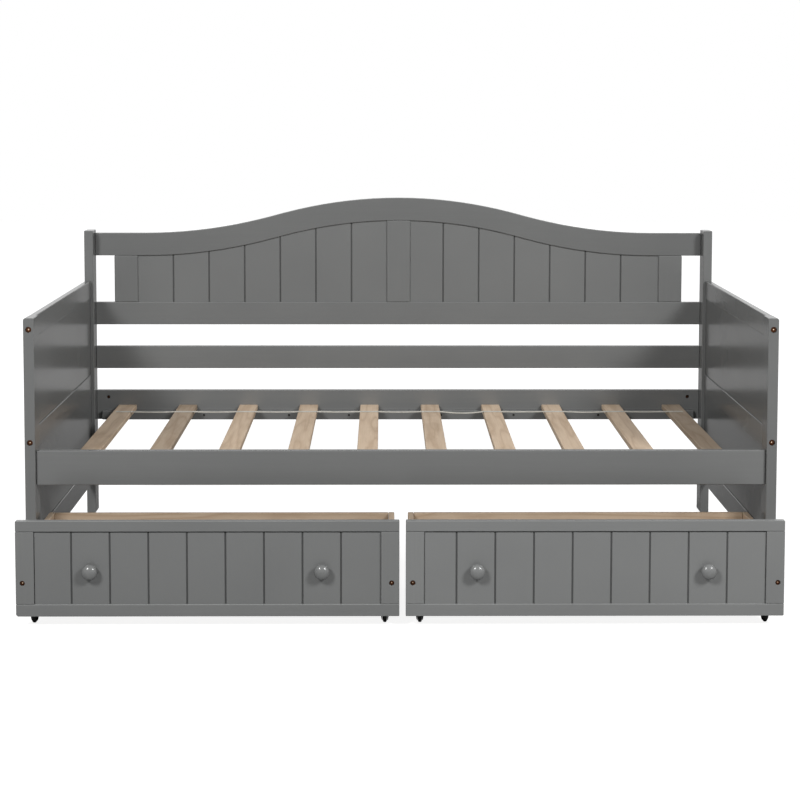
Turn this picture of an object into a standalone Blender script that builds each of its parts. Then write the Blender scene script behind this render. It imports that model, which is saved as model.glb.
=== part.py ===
"""A storage daybed: two framed ends, an arched backrest, a slatted bed frame and two rolling drawers.

Metres, +Z up. X runs along the bed, -Y is the open front, and Z = 0 is the floor. Sizes below are read
in the bed's own frame, where Y = 0 is the front face of the front posts.
"""
import math
from collections import namedtuple

import bmesh
import bpy
from mathutils import Vector

# Fits and small shapes
GAP = 0.0003                    # between two pieces that touch
POCKET_GAP = 0.0004             # round a panel's edge inside its groove
EDGE_EASE = 0.0015              # chamfer along every board
EASE_LIMIT_SHARE = 0.2          # of the board's least thickness
OVERRUN = 0.01                  # how far a cut passes the wood

# Posts and the whole frame
LENGTH = 2.000                  # over the posts
DEPTH = 1.050                   # over the posts
POST_WIDTH = 0.028
POST_DEPTH = 0.0635
POST_CAP = 0.010                # back post above the arched rail's ends
POST_CORNER_RADIUS = 0.0065     # front post's upper corner at the bed's end
RAIL_THICKNESS = 0.020          # backrest and side rails
RAIL_HEIGHT = 0.0725            # the three rails of the backrest

# Side rails, ledgers and slats
BACK_SIDE_RAIL_HEIGHT = 0.095
FRONT_SIDE_RAIL_HEIGHT = 0.0924
FRONT_RAIL_RECESS = 0.0103      # from the front posts' front faces
UNDERBED_HEIGHT = 0.2955        # floor to the back side rail
FRONT_RAIL_LIFT = 0.0061        # front side rail above the back one's lower edge
LEDGER_HEIGHT = 0.0291          # back ledger; the front one ends at the same top
LEDGER_THICKNESS = 0.020
LEDGER_LIFT = 0.002             # above the side rail's lower edge
LEDGER_END_GAP = 0.020
SLAT_COUNT = 10
SLAT_WIDTH = 0.0585
SLAT_THICKNESS = 0.016
SLAT_LEFT_SPACE = 0.0704        # first slat to the left posts' inner faces
SLAT_RIGHT_SPACE = 0.0623       # last slat to the right posts' inner faces

# Backrest
LOWER_BACK_SPACE = 0.0705       # side rail to middle rail
UPPER_BACK_SPACE = 0.0695       # middle rail to panel rail
BACK_PANEL_HEIGHT = 0.150       # panel rail to the arched rail's ends
ARCH_RISE = 0.1131
ARCH_END_LENGTH = 0.1612        # level stretch at each end of the arched rail
ARCH_CROWN_SHARE = 0.48         # of the arch, where its curve turns from hollow to round
ARCH_STEPS = 40
STILE_WIDTH = 0.0745
WINDOW_WIDTH = 0.061            # post to outer stile
BACK_PANEL_THICKNESS = 0.008
BACK_PANEL_RECESS = 0.006
BACK_PLANKS = 7
BACK_PLANK_STEPS = 4
LEFT_BACK_GROOVE_SHARES = (0.1423, 0.8575)      # first and last groove across the left panel
RIGHT_BACK_GROOVE_SHARES = (0.1329, 0.8479)
PANEL_TONGUE = 0.006            # panel edge inside its groove
VEE_WIDTH = 0.005
VEE_DEPTH = 0.0025

# Ends
END_RAIL_THICKNESS = 0.018
END_RAIL_RECESS = 0.008         # from the posts' inner faces
ARM_DROP = 0.0015               # arm rail below the front post's top
ARM_RAIL_HEIGHT = 0.057
END_MIDDLE_RAIL_HEIGHT = 0.0625
END_BOTTOM_RAIL_HEIGHT = 0.067
END_FLOOR_SPACE = 0.098
END_MIDDLE_RAIL_DROP = 0.0045   # its lower edge below the side rails' top
END_UPPER_PANEL_HEIGHT = 0.243
END_PANEL_THICKNESS = 0.006
END_PANEL_RECESS = 0.003        # from the end rails' inner faces

# Drawers
LEFT_PULL = 0.283               # how far each drawer stands out, as it is shown
RIGHT_PULL = 0.283
LEFT_SIDE_GAP = 0.0015          # left drawer's front to its post
RIGHT_SIDE_GAP = 0.011
DRAWER_MIDDLE_GAP = 0.0159
DRAWER_TOP_GAP = 0.0217         # drawer front below the back side rail's lower edge
DRAWER_FLOOR_GAP = 0.0304
DRAWER_DEPTH = 0.412            # front face to the back of the box
FRONT_THICKNESS = 0.018
FRONT_TOP_RAIL = 0.0275
FRONT_BOTTOM_RAIL = 0.031
FRONT_STILE = 0.046
FRONT_CORNER_RADIUS = 0.003     # upper corner at the bed's end
LEFT_FOOT_RADIUS = 0.0065       # lower corner at the bed's end
RIGHT_FOOT_RADIUS = 0.003
CORNER_STEPS = 4
FRONT_PANEL_THICKNESS = 0.006
FRONT_PANEL_RECESS = 0.005
FRONT_PLANKS = 9
LEFT_FRONT_GROOVE_SHARES = (0.1070, 0.8841)     # first and last groove across the left drawer's panel
RIGHT_FRONT_GROOVE_SHARES = (0.0948, 0.8859)
BOX_INSET = 0.0105              # box side from the front's end
BOX_DROP = 0.0731               # box top below the front's top
BOX_SIDE_THICKNESS = 0.0155
BOX_BACK_THICKNESS = 0.012
BOX_LIP = 0.006                 # box side below its bottom board
BOTTOM_THICKNESS = 0.006
BOTTOM_TONGUE = 0.005

# Knobs
KNOB_RADIUS = 0.0200
KNOB_LENGTH = 0.030
KNOB_HEAD_LENGTH = 0.026
KNOB_NECK_RADIUS = 0.0095
KNOB_DROP = 0.0072              # below the middle of the drawer panel
KNOB_SPACING = 0.581            # between a drawer's two knobs
LEFT_KNOB_SHARE = 0.4956        # middle of the two knobs across the left drawer's panel
RIGHT_KNOB_SHARE = 0.4925
KNOB_RINGS = 8
KNOB_SIDES = 24

# Casters
WHEEL_RADIUS = 0.0175
WHEEL_WIDTH = 0.0116
WHEEL_CROWN_SHARE = 0.92        # of the height between tread and bore, rounded over the width
WHEEL_SIDE_GAP = 0.0005
WHEEL_TOP_GAP = 0.010
WHEEL_SIDES = 24
CROWN_STEPS = 10
AXLE_RADIUS = 0.0025
AXLE_GAP = 0.0003
AXLE_SEAT = 0.0015              # axle inside each cheek of the fork
AXLE_SIDES = 16
FORK_PLATE = 0.003
FORK_LENGTH = 0.034
FORK_CHEEK = 0.003              # on each side of the wheel, at the foot
FORK_FLARE = 0.0007             # on each side, from the foot up to the plate
FORK_FOOT_RADIUS = 0.008
FORK_FOOT_STEPS = 6
FORK_SEAT = 0.002               # fork inside the bottom board
FORK_SIDE_GAP = 0.0005          # fork to box side
CASTER_SETBACK = 0.055          # wheel from the drawer's front and back

# Places worked out from the sizes above, in the bed's own frame
INNER_HALF = LENGTH / 2 - POST_WIDTH
BACK_POST_FRONT = DEPTH - POST_DEPTH
BACK_FACE = DEPTH - RAIL_THICKNESS
FRONT_RAIL_BACK = FRONT_RAIL_RECESS + RAIL_THICKNESS
FRONT_RAIL_LOW = UNDERBED_HEIGHT + FRONT_RAIL_LIFT
SIDE_RAIL_TOP = UNDERBED_HEIGHT + BACK_SIDE_RAIL_HEIGHT
MIDDLE_RAIL_LOW = SIDE_RAIL_TOP + LOWER_BACK_SPACE
PANEL_RAIL_LOW = MIDDLE_RAIL_LOW + RAIL_HEIGHT + UPPER_BACK_SPACE
PANEL_RAIL_TOP = PANEL_RAIL_LOW + RAIL_HEIGHT
ARCH_LOW = PANEL_RAIL_TOP + BACK_PANEL_HEIGHT
BACK_POST_HEIGHT = ARCH_LOW + RAIL_HEIGHT + POST_CAP
ARCH_HALF_SPAN = INNER_HALF - ARCH_END_LENGTH
STILE_OUTER = INNER_HALF - WINDOW_WIDTH
STILE_INNER = STILE_OUTER - STILE_WIDTH
LEDGER_TOP = UNDERBED_HEIGHT + LEDGER_LIFT + LEDGER_HEIGHT
SLAT_LOW = LEDGER_TOP + GAP
FIRST_SLAT = SLAT_LEFT_SPACE + SLAT_WIDTH / 2 - INNER_HALF
LAST_SLAT = INNER_HALF - SLAT_RIGHT_SPACE - SLAT_WIDTH / 2

END_RAIL_INNER = INNER_HALF + END_RAIL_RECESS
END_LOWER_OPENING = END_FLOOR_SPACE + END_BOTTOM_RAIL_HEIGHT
END_MIDDLE_RAIL_LOW = SIDE_RAIL_TOP - END_MIDDLE_RAIL_DROP
END_UPPER_OPENING = END_MIDDLE_RAIL_LOW + END_MIDDLE_RAIL_HEIGHT
ARM_RAIL_LOW = END_UPPER_OPENING + END_UPPER_PANEL_HEIGHT
FRONT_POST_HEIGHT = ARM_RAIL_LOW + ARM_RAIL_HEIGHT + ARM_DROP

LEFT_WIDTH = INNER_HALF - LEFT_SIDE_GAP - DRAWER_MIDDLE_GAP / 2
RIGHT_WIDTH = INNER_HALF - RIGHT_SIDE_GAP - DRAWER_MIDDLE_GAP / 2
FRONT_TOP = UNDERBED_HEIGHT - DRAWER_TOP_GAP
FRONT_OPENING_LOW = DRAWER_FLOOR_GAP + FRONT_BOTTOM_RAIL
FRONT_OPENING_TOP = FRONT_TOP - FRONT_TOP_RAIL
CASTER_HEIGHT = 2 * WHEEL_RADIUS + WHEEL_TOP_GAP + FORK_PLATE
BOX_TOP = FRONT_TOP - BOX_DROP
BOX_FRONT = FRONT_THICKNESS + GAP
FORK_FOOT_WIDTH = WHEEL_WIDTH + 2 * (WHEEL_SIDE_GAP + FORK_CHEEK)
FORK_WIDTH = FORK_FOOT_WIDTH + 2 * FORK_FLARE

# The origin lies under the middle of the whole, drawers and knobs included
FRONT_REACH = max(LEFT_PULL, RIGHT_PULL) + KNOB_LENGTH + GAP - FRONT_PANEL_RECESS
ORIGIN_Y = (DEPTH - FRONT_REACH) / 2

# What the two drawers do not share. side is -1 for the left one and +1 for the right one
Drawer = namedtuple("Drawer", "label side pull width foot_radius groove_shares knob_share")
LEFT_DRAWER = Drawer(
    "left_drawer", -1, LEFT_PULL, LEFT_WIDTH, LEFT_FOOT_RADIUS, LEFT_FRONT_GROOVE_SHARES, LEFT_KNOB_SHARE
)
RIGHT_DRAWER = Drawer(
    "right_drawer", 1, RIGHT_PULL, RIGHT_WIDTH, RIGHT_FOOT_RADIUS, RIGHT_FRONT_GROOVE_SHARES, RIGHT_KNOB_SHARE
)


def remove_everything():
    for obj in list(bpy.data.objects):
        bpy.data.objects.remove(obj, do_unlink=True)


def finish(name, colour, roughness, metallic=0.0):
    """A plain Principled material."""
    made = bpy.data.materials.new(name)
    made.use_nodes = True
    shader = made.node_tree.nodes["Principled BSDF"]
    shader.inputs["Base Color"].default_value = (*colour, 1.0)
    shader.inputs["Roughness"].default_value = roughness
    shader.inputs["Metallic"].default_value = metallic
    made.diffuse_color = (*colour, 1.0)
    return made


def empty(name, location, parent=None):
    """An empty that carries the pieces of one body."""
    made = bpy.data.objects.new(name, None)
    made.location = location
    made.parent = parent
    bpy.context.scene.collection.objects.link(made)
    return made


def place(name, mesh, look, parent, location=(0, 0, 0), rotation=(0, 0, 0)):
    """Puts a mesh into the scene as one named sub-part."""
    obj = bpy.data.objects.new(name, mesh)
    obj.parent = parent
    obj.location = location
    obj.rotation_euler = rotation
    if look:
        mesh.materials.append(look)
    bpy.context.scene.collection.objects.link(obj)
    return obj


def as_cutter(obj):
    """Marks an object as a tool that only shapes its neighbours."""
    obj.hide_render = True
    obj.display_type = "WIRE"
    return obj


def cut(obj, tool):
    shaping = obj.modifiers.new("Cut", "BOOLEAN")
    shaping.operation = "DIFFERENCE"
    shaping.solver = "EXACT"
    shaping.object = tool


def unite(obj, tool):
    shaping = obj.modifiers.new("Unite", "BOOLEAN")
    shaping.operation = "UNION"
    shaping.solver = "EXACT"
    shaping.object = tool


def ease_edges(obj, thickness):
    """Chamfers the long edges of a board, less on a thin one."""
    easing = obj.modifiers.new("Eased edges", "BEVEL")
    easing.width = min(EDGE_EASE, EASE_LIMIT_SHARE * thickness)
    easing.segments = 1
    easing.limit_method = "ANGLE"


def box_mesh(name, size):
    bm = bmesh.new()
    bmesh.ops.create_cube(bm, size=1)
    bmesh.ops.scale(bm, vec=size, verts=bm.verts)
    mesh = bpy.data.meshes.new(name)
    bm.to_mesh(mesh)
    bm.free()
    return mesh


def block(name, low, high, parent):
    """A plain box between two corners, for cutting."""
    low, high = Vector(low), Vector(high)
    return as_cutter(place(name, box_mesh(name, high - low), None, parent, (low + high) / 2))


def board(name, low, high, look, parent):
    """A straight board between two corners, its edges eased."""
    low, high = Vector(low), Vector(high)
    obj = place(name, box_mesh(name, high - low), look, parent, (low + high) / 2)
    ease_edges(obj, min(high - low))
    return obj


def strip_mesh(name, stations):
    """A closed solid along X. Each station is (x, front y, back y, low z, high z)."""
    bm = bmesh.new()
    rings = []
    for x, front, back, low, high in stations:
        corners = ((front, low), (back, low), (back, high), (front, high))
        rings.append([bm.verts.new((x, y, z)) for y, z in corners])
    for near, far in zip(rings, rings[1:]):
        for k in range(4):
            bm.faces.new((near[k - 1], near[k], far[k], far[k - 1]))
    bm.faces.new(rings[0][::-1])
    bm.faces.new(rings[-1])
    bmesh.ops.recalc_face_normals(bm, faces=bm.faces)
    mesh = bpy.data.meshes.new(name)
    bm.to_mesh(mesh)
    bm.free()
    return mesh


def prism_mesh(name, outline, half_width):
    """Extrudes a closed (y, z) outline along X; half_width gives the side's x at each height."""
    bm = bmesh.new()
    left = [bm.verts.new((-half_width(z), y, z)) for y, z in outline]
    right = [bm.verts.new((half_width(z), y, z)) for y, z in outline]
    for k in range(len(outline)):
        bm.faces.new((left[k - 1], left[k], right[k], right[k - 1]))
    bm.faces.new(left)
    bm.faces.new(right[::-1])
    bmesh.ops.recalc_face_normals(bm, faces=bm.faces)
    mesh = bpy.data.meshes.new(name)
    bm.to_mesh(mesh)
    bm.free()
    return mesh


def rounded_corner(x, z, side, radius, start):
    """A quarter circle of (x, z) points in place of the square corner at (x, z)."""
    centre_x = x - side * radius
    centre_z = z + radius if start < 0 else z - radius
    points = []
    for k in range(CORNER_STEPS + 1):
        angle = math.radians(start + 90 * k / CORNER_STEPS)
        points.append((centre_x + side * radius * math.cos(angle), centre_z + radius * math.sin(angle)))
    return points


def slab_mesh(name, outline, depth):
    """Extrudes a closed (x, z) outline along +Y."""
    bm = bmesh.new()
    face = bm.faces.new([bm.verts.new((x, 0, z)) for x, z in outline])
    extruded = bmesh.ops.extrude_face_region(bm, geom=[face])["geom"]
    corners = [item for item in extruded if isinstance(item, bmesh.types.BMVert)]
    bmesh.ops.translate(bm, vec=(0, depth, 0), verts=corners)
    bmesh.ops.recalc_face_normals(bm, faces=bm.faces)
    mesh = bpy.data.meshes.new(name)
    bm.to_mesh(mesh)
    bm.free()
    return mesh


def turned_mesh(name, profile, sides, ring_closed):
    """Turns (along x, radius) points about X. An open profile starts and ends on the axis."""
    bm = bmesh.new()
    rings = []
    for along, radius in profile:
        if radius == 0:
            rings.append([bm.verts.new((along, 0, 0))])
            continue
        angles = [2 * math.pi * k / sides for k in range(sides)]
        rings.append([bm.verts.new((along, radius * math.cos(a), radius * math.sin(a))) for a in angles])
    pairs = list(zip(rings, rings[1:]))
    if ring_closed:
        pairs.append((rings[-1], rings[0]))
    for near, far in pairs:
        for k in range(sides):
            if len(near) == 1:
                bm.faces.new((near[0], far[k], far[k - 1]))
            elif len(far) == 1:
                bm.faces.new((near[k - 1], near[k], far[0]))
            else:
                bm.faces.new((near[k - 1], near[k], far[k], far[k - 1]))
    bmesh.ops.recalc_face_normals(bm, faces=bm.faces)
    mesh = bpy.data.meshes.new(name)
    bm.to_mesh(mesh)
    bm.free()
    mesh.shade_smooth()
    mesh.set_sharp_from_angle(angle=math.radians(35))
    return mesh


def joined(name, objects):
    """One cutting tool made of several separate solids."""
    bm = bmesh.new()
    for obj in objects:
        start = len(bm.verts)
        bm.from_mesh(obj.data)
        bm.verts.ensure_lookup_table()
        bmesh.ops.translate(bm, vec=obj.location, verts=bm.verts[start:])
    parent = objects[0].parent
    for obj in objects:
        bpy.data.objects.remove(obj, do_unlink=True)
    mesh = bpy.data.meshes.new(name)
    bm.to_mesh(mesh)
    bm.free()
    return as_cutter(place(name, mesh, None, parent))


def arch_rise(x):
    """Height of the arched rail at x above its level ends: two parabolas that meet at one slope."""
    reach = min(abs(x) / ARCH_HALF_SPAN, 1)
    if reach < ARCH_CROWN_SHARE:
        return ARCH_RISE * (1 - reach ** 2 / ARCH_CROWN_SHARE)
    return ARCH_RISE * (1 - reach) ** 2 / (1 - ARCH_CROWN_SHARE)


def vee_depth(x, grooves):
    nearest = min(abs(x - groove) for groove in grooves)
    return VEE_DEPTH * max(0, 1 - nearest / (VEE_WIDTH / 2))


def plank_grooves(low, high, groove_shares, count):
    """Evenly spaced grooves between count planks. The shares place the first and the last one."""
    first, last = (low + (high - low) * share for share in groove_shares)
    return [first + (last - first) * k / (count - 2) for k in range(count - 1)]


def plank_stops(low, high, grooves, steps):
    """X places across a row of planks: both tongues, every groove, and steps along each plank."""
    stops = {low - PANEL_TONGUE, high + PANEL_TONGUE}
    for groove in grooves:
        stops |= {groove - VEE_WIDTH / 2, groove, groove + VEE_WIDTH / 2}
    edges = [low, *grooves, high]
    for near, far in zip(edges, edges[1:]):
        stops |= {near + (far - near) * k / steps for k in range(1, steps)}
    return sorted(stops)


def make_end(side, label, paint, bed):
    """One framed end. side is -1 for the left end and +1 for the right end."""

    def across(inner, outer):
        return sorted((side * inner, side * outer))

    post_x = across(INNER_HALF, LENGTH / 2)
    rail_x = across(END_RAIL_INNER, END_RAIL_INNER + END_RAIL_THICKNESS)
    panel_inner = END_RAIL_INNER + END_PANEL_RECESS
    panel_x = across(panel_inner, panel_inner + END_PANEL_THICKNESS)
    pocket_x = across(panel_inner - POCKET_GAP, panel_inner + END_PANEL_THICKNESS + POCKET_GAP)
    rail_y = (POST_DEPTH + GAP, BACK_POST_FRONT - GAP)
    panel_y = (POST_DEPTH - PANEL_TONGUE, BACK_POST_FRONT + PANEL_TONGUE)

    def front_upright():
        inner, outer = side * INNER_HALF, side * LENGTH / 2
        outline = [(inner, FRONT_POST_HEIGHT), (inner, 0), (outer, 0)]
        outline += rounded_corner(outer, FRONT_POST_HEIGHT, side, POST_CORNER_RADIUS, 0)
        post_mesh = slab_mesh(f"{label}_front_post", outline, POST_DEPTH)
        post = place(f"{label}_front_post", post_mesh, paint, bed)
        ease_edges(post, POST_WIDTH)
        return post

    def rail(name, low, height):
        corners = (rail_x[0], rail_y[0], low), (rail_x[1], rail_y[1], low + height)
        return board(f"{label}_{name}", *corners, paint, bed)

    front_post = front_upright()
    corners = (post_x[0], BACK_POST_FRONT, 0), (post_x[1], DEPTH, BACK_POST_HEIGHT)
    back_post = board(f"{label}_back_post", *corners, paint, bed)
    arm_rail = rail("arm_rail", ARM_RAIL_LOW, ARM_RAIL_HEIGHT)
    middle_rail = rail("middle_rail", END_MIDDLE_RAIL_LOW, END_MIDDLE_RAIL_HEIGHT)
    bottom_rail = rail("bottom_rail", END_FLOOR_SPACE, END_BOTTOM_RAIL_HEIGHT)

    def panel(name, low, high, neighbours):
        low, high = low - PANEL_TONGUE, high + PANEL_TONGUE
        board(f"{label}_{name}", (panel_x[0], panel_y[0], low), (panel_x[1], panel_y[1], high), paint, bed)
        pocket_low = pocket_x[0], panel_y[0] - POCKET_GAP, low - POCKET_GAP
        pocket_high = pocket_x[1], panel_y[1] + POCKET_GAP, high + POCKET_GAP
        pocket = block(f"{label}_{name}_pocket", pocket_low, pocket_high, bed)
        for neighbour in neighbours:
            cut(neighbour, pocket)

    posts = front_post, back_post
    panel("upper_panel", END_UPPER_OPENING, ARM_RAIL_LOW, (*posts, middle_rail, arm_rail))
    panel("lower_panel", END_LOWER_OPENING, END_MIDDLE_RAIL_LOW, (*posts, bottom_rail, middle_rail))


def make_arch_rail(paint, bed):
    """The arched top rail, level at its ends, of one height all along. Its mesh is read from ARCH_LOW."""
    reach = INNER_HALF - GAP
    stops = [-reach, reach]
    stops += [ARCH_HALF_SPAN * (2 * k / ARCH_STEPS - 1) for k in range(ARCH_STEPS + 1)]
    stations = []
    for x in sorted(stops):
        stations.append((x, BACK_FACE, DEPTH, arch_rise(x), arch_rise(x) + RAIL_HEIGHT))
    rail = place("back_arch_rail", strip_mesh("back_arch_rail", stations), paint, bed, (0, 0, ARCH_LOW))
    ease_edges(rail, RAIL_THICKNESS)
    return rail


def make_back_panel(label, low, high, groove_shares, neighbours, paint, bed):
    """A planked panel whose top edge follows the arch, seated in grooves all round. Read from ARCH_LOW."""
    front = BACK_FACE + BACK_PANEL_RECESS
    back = front + BACK_PANEL_THICKNESS
    foot = -BACK_PANEL_HEIGHT - PANEL_TONGUE
    grooves = plank_grooves(low, high, groove_shares, BACK_PLANKS)
    panel, pocket = [], []
    stops = plank_stops(low, high, grooves, BACK_PLANK_STEPS)
    for x in stops:
        head = arch_rise(x) + PANEL_TONGUE
        panel.append((x, front + vee_depth(x, grooves), back, foot, head))
        widened = x
        if x == stops[0]:
            widened = x - POCKET_GAP
        elif x == stops[-1]:
            widened = x + POCKET_GAP
        pocket.append((widened, front - POCKET_GAP, back + POCKET_GAP, foot - POCKET_GAP, head + POCKET_GAP))
    panel_mesh = strip_mesh(f"back_{label}_panel", panel)
    place(f"back_{label}_panel", panel_mesh, paint, bed, (0, 0, ARCH_LOW))
    pocket_mesh = strip_mesh(f"back_{label}_pocket", pocket)
    tool = as_cutter(place(f"back_{label}_pocket", pocket_mesh, None, bed, (0, 0, ARCH_LOW)))
    for neighbour in neighbours:
        cut(neighbour, tool)


def make_backrest(paint, bed):
    reach = INNER_HALF - GAP

    def rail(name, low):
        return board(name, (-reach, BACK_FACE, low), (reach, DEPTH, low + RAIL_HEIGHT), paint, bed)

    def stile(name, x_low, x_high):
        head = ARCH_LOW + min(arch_rise(x_low), arch_rise(x_high)) - GAP
        foot = PANEL_RAIL_TOP + GAP
        return board(name, (x_low, BACK_FACE, foot), (x_high, DEPTH, head), paint, bed)

    rail("back_middle_rail", MIDDLE_RAIL_LOW)
    panel_rail = rail("back_panel_rail", PANEL_RAIL_LOW)
    arch = make_arch_rail(paint, bed)
    left = stile("back_left_stile", -STILE_OUTER, -STILE_INNER)
    centre = stile("back_centre_stile", -STILE_WIDTH / 2, STILE_WIDTH / 2)
    right = stile("back_right_stile", STILE_INNER, STILE_OUTER)
    span = -STILE_INNER, -STILE_WIDTH / 2
    make_back_panel("left", *span, LEFT_BACK_GROOVE_SHARES, (arch, panel_rail, left, centre), paint, bed)
    span = STILE_WIDTH / 2, STILE_INNER
    make_back_panel("right", *span, RIGHT_BACK_GROOVE_SHARES, (arch, panel_rail, centre, right), paint, bed)


def make_side_rails(paint, bed):
    """The two side rails and the ledgers screwed to their inner faces."""
    reach = INNER_HALF - GAP
    ledger_reach = INNER_HALF - LEDGER_END_GAP
    rails = {
        "front": (FRONT_RAIL_RECESS, FRONT_RAIL_LOW, FRONT_SIDE_RAIL_HEIGHT, FRONT_RAIL_BACK + GAP),
        "back": (BACK_FACE, UNDERBED_HEIGHT, BACK_SIDE_RAIL_HEIGHT, BACK_FACE - GAP - LEDGER_THICKNESS),
    }
    for label, (face, rail_low, height, ledger_face) in rails.items():
        low = -reach, face, rail_low
        high = reach, face + RAIL_THICKNESS, rail_low + height
        board(f"{label}_side_rail", low, high, paint, bed)
        low = -ledger_reach, ledger_face, rail_low + LEDGER_LIFT
        high = ledger_reach, ledger_face + LEDGER_THICKNESS, LEDGER_TOP
        board(f"{label}_ledger", low, high, paint, bed)


def make_slats(wood, bed):
    for k in range(SLAT_COUNT):
        middle = FIRST_SLAT + (LAST_SLAT - FIRST_SLAT) * k / (SLAT_COUNT - 1)
        low = middle - SLAT_WIDTH / 2, FRONT_RAIL_BACK + GAP, SLAT_LOW
        high = middle + SLAT_WIDTH / 2, BACK_FACE - GAP, SLAT_LOW + SLAT_THICKNESS
        board(f"slat_{k + 1:02d}", low, high, wood, bed)


def front_outline(drawer):
    """The drawer front's outline in (x, z): rounded corners at the bed's end, square ones inside."""
    outer = drawer.side * drawer.width / 2
    outline = [(-outer, FRONT_TOP), (-outer, DRAWER_FLOOR_GAP)]
    outline += rounded_corner(outer, DRAWER_FLOOR_GAP, drawer.side, drawer.foot_radius, -90)
    return outline + rounded_corner(outer, FRONT_TOP, drawer.side, FRONT_CORNER_RADIUS, 0)


def make_drawer_front(drawer, paint, body):
    """The front's frame and the planked panel seated in it."""
    label = drawer.label
    frame_mesh = slab_mesh(f"{label}_frame", front_outline(drawer), FRONT_THICKNESS)
    frame = place(f"{label}_frame", frame_mesh, paint, body)
    ease_edges(frame, FRONT_THICKNESS)
    half = drawer.width / 2 - FRONT_STILE
    low = -half, -OVERRUN, FRONT_OPENING_LOW
    high = half, FRONT_THICKNESS + OVERRUN, FRONT_OPENING_TOP
    cut(frame, block(f"{label}_opening", low, high, body))

    front = FRONT_PANEL_RECESS
    back = front + FRONT_PANEL_THICKNESS
    foot, head = FRONT_OPENING_LOW - PANEL_TONGUE, FRONT_OPENING_TOP + PANEL_TONGUE
    grooves = plank_grooves(-half, half, drawer.groove_shares, FRONT_PLANKS)
    stations = []
    for x in plank_stops(-half, half, grooves, 1):
        stations.append((x, front + vee_depth(x, grooves), back, foot, head))
    place(f"{label}_panel", strip_mesh(f"{label}_panel", stations), paint, body)
    reach = half + PANEL_TONGUE + POCKET_GAP
    low = -reach, front - POCKET_GAP, foot - POCKET_GAP
    high = reach, back + POCKET_GAP, head + POCKET_GAP
    cut(frame, block(f"{label}_panel_pocket", low, high, body))


def box_inner(drawer):
    """The box sides' inner faces, from the drawer's middle."""
    return drawer.width / 2 - BOX_INSET - BOX_SIDE_THICKNESS


def make_drawer_box(drawer, wood, body):
    """Two sides, a back, and a bottom board that slides into grooves in the sides."""
    label, wall_inner = drawer.label, box_inner(drawer)
    wall_outer = wall_inner + BOX_SIDE_THICKNESS
    bottom_top = CASTER_HEIGHT + BOTTOM_THICKNESS
    bottom_reach = wall_inner + BOTTOM_TONGUE
    low = -bottom_reach, BOX_FRONT, CASTER_HEIGHT
    bottom = board(f"{label}_bottom", low, (bottom_reach, DRAWER_DEPTH, bottom_top), wood, body)
    groove_reach = bottom_reach + POCKET_GAP
    groove_low = -groove_reach, -OVERRUN, CASTER_HEIGHT - POCKET_GAP
    groove_high = groove_reach, DRAWER_DEPTH + OVERRUN, bottom_top + POCKET_GAP
    groove = block(f"{label}_bottom_groove", groove_low, groove_high, body)
    for name, x_low, x_high in (("left", -wall_outer, -wall_inner), ("right", wall_inner, wall_outer)):
        low = x_low, BOX_FRONT, CASTER_HEIGHT - BOX_LIP
        wall = board(f"{label}_{name}_side", low, (x_high, DRAWER_DEPTH, BOX_TOP), wood, body)
        cut(wall, groove)
    reach = wall_inner - GAP
    low = -reach, DRAWER_DEPTH - BOX_BACK_THICKNESS, bottom_top + GAP
    board(f"{label}_back", low, (reach, DRAWER_DEPTH, BOX_TOP), wood, body)
    return bottom


def caster_places(drawer):
    """The four wheel centres of a drawer: front pair, then back pair."""
    reach = box_inner(drawer) - FORK_SIDE_GAP - FORK_WIDTH / 2
    for y in (CASTER_SETBACK, DRAWER_DEPTH - CASTER_SETBACK):
        for x in (-reach, reach):
            yield Vector((x, y, WHEEL_RADIUS))


def fork_outline():
    """The fork seen from the side, in (y, z) about the axle: a plate that narrows to a round foot."""
    top = CASTER_HEIGHT - WHEEL_RADIUS + FORK_SEAT
    shoulder = CASTER_HEIGHT - WHEEL_RADIUS - FORK_PLATE
    outline = [(FORK_LENGTH / 2, top), (FORK_LENGTH / 2, shoulder)]
    for k in range(FORK_FOOT_STEPS + 1):
        angle = -math.pi * k / FORK_FOOT_STEPS
        outline.append((FORK_FOOT_RADIUS * math.cos(angle), FORK_FOOT_RADIUS * math.sin(angle)))
    return outline + [(-FORK_LENGTH / 2, shoulder), (-FORK_LENGTH / 2, top)]


def fork_half_width(z):
    """The fork tapers from its plate down to its foot."""
    top = CASTER_HEIGHT - WHEEL_RADIUS + FORK_SEAT
    share = (z + FORK_FOOT_RADIUS) / (top + FORK_FOOT_RADIUS)
    return (FORK_FOOT_WIDTH + (FORK_WIDTH - FORK_FOOT_WIDTH) * share) / 2


def add_forks(drawer, bottom, body):
    """Four forks with their axles, made as one solid with the bottom board."""
    label = drawer.label
    slot_half = WHEEL_WIDTH / 2 + WHEEL_SIDE_GAP
    axle_half = slot_half + AXLE_SEAT
    axle = [(-axle_half, 0), (-axle_half, AXLE_RADIUS), (axle_half, AXLE_RADIUS), (axle_half, 0)]
    bodies, slots, axles = [], [], []
    for centre in caster_places(drawer):
        fork = prism_mesh("fork", fork_outline(), fork_half_width)
        bodies.append(place("fork", fork, None, body, centre))
        low = centre + Vector((-slot_half, -FORK_LENGTH, -WHEEL_RADIUS))
        high = centre + Vector((slot_half, FORK_LENGTH, WHEEL_RADIUS + WHEEL_TOP_GAP))
        slots.append(block("slot", low, high, body))
        axles.append(place("axle", turned_mesh("axle", axle, AXLE_SIDES, False), None, body, centre))
    unite(bottom, joined(f"{label}_forks", bodies))
    cut(bottom, joined(f"{label}_fork_slots", slots))
    unite(bottom, joined(f"{label}_axles", axles))


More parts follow.
